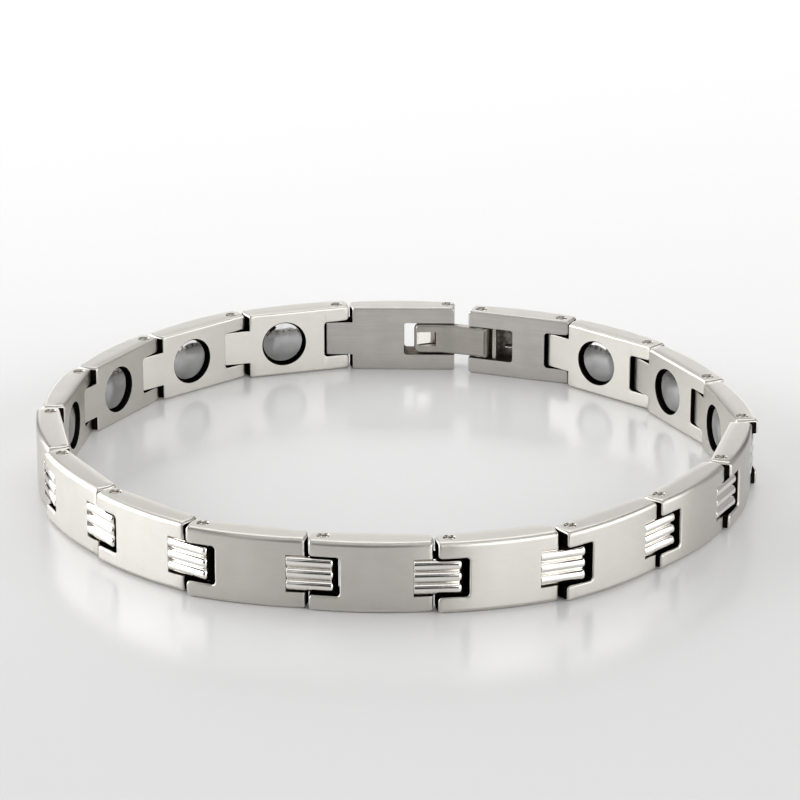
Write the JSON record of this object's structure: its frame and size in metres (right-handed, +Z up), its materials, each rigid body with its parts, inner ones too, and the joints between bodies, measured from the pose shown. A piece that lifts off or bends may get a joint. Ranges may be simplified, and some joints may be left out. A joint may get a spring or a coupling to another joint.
{
  "type": "magnetic bracelet",
  "caption": "Slim stainless steel link bracelet closed in a ring, with satin plates, ribbed hinge tongues, round magnets set in the inner face and a fold-over lever clasp",
  "frame": {"origin": "Middle of the ring on the plane that it stands on: the centre of the lower face of the whole part's box", "axes": "+Z is up, along the axis of the ring and of every pin; the clasp is on the +Y side and the view of the picture looks along +Y and down; +X is to the right of that view"},
  "size_m": [0.071, 0.0674, 0.007],
  "materials": {
    "satin_steel": "satin plates with polished edges and ribs",
    "clasp_steel": "fine brushed",
    "lever_steel": "fine brushed, polished edges",
    "pin_steel": "polished",
    "magnet": "dark polished plating"
  },
  "bodies": {
    "band": {"link_01": "satin_steel", "link_02": "satin_steel", "link_03": "satin_steel", "link_04": "satin_steel", "link_05": "satin_steel", "link_06": "satin_steel", "link_07": "satin_steel", "link_08": "satin_steel", "link_09": "satin_steel", "link_10": "satin_steel", "link_11": "satin_steel", "link_12": "satin_steel", "link_13": "satin_steel", "link_14": "satin_steel", "link_15": "satin_steel", "link_16": "satin_steel", "magnet_01": "magnet", "magnet_02": "magnet", "magnet_03": "magnet", "magnet_04": "magnet", "magnet_05": "magnet", "magnet_06": "magnet", "magnet_07": "magnet", "magnet_08": "magnet", "magnet_09": "magnet", "magnet_10": "magnet", "magnet_11": "magnet", "magnet_12": "magnet", "magnet_13": "magnet", "magnet_14": "magnet", "magnet_15": "magnet", "magnet_16": "magnet", "link_pin_01": "pin_steel", "link_pin_02": "pin_steel", "link_pin_03": "pin_steel", "link_pin_04": "pin_steel", "link_pin_05": "pin_steel", "link_pin_06": "pin_steel", "link_pin_07": "pin_steel", "link_pin_08": "pin_steel", "link_pin_09": "pin_steel", "link_pin_10": "pin_steel", "link_pin_11": "pin_steel", "link_pin_12": "pin_steel", "link_pin_13": "pin_steel", "link_pin_14": "pin_steel", "link_pin_15": "pin_steel", "link_pin_16": "pin_steel", "link_pin_17": "pin_steel", "hinge_link": "clasp_steel", "catch_link": "clasp_steel", "lever_pin": "pin_steel", "catch_pin": "pin_steel", "cross_pin": "pin_steel"},
    "lever": {"clasp_lever": "lever_steel"}
  },
  "joints": [
    {"name": "clasp_hinge", "type": "hinge", "parent": "band", "child": "lever", "pos_m": [0.00901, 0.03069, 0.0035], "axis": [0, 0, 1], "range_deg": [0, 90]}
  ]
}
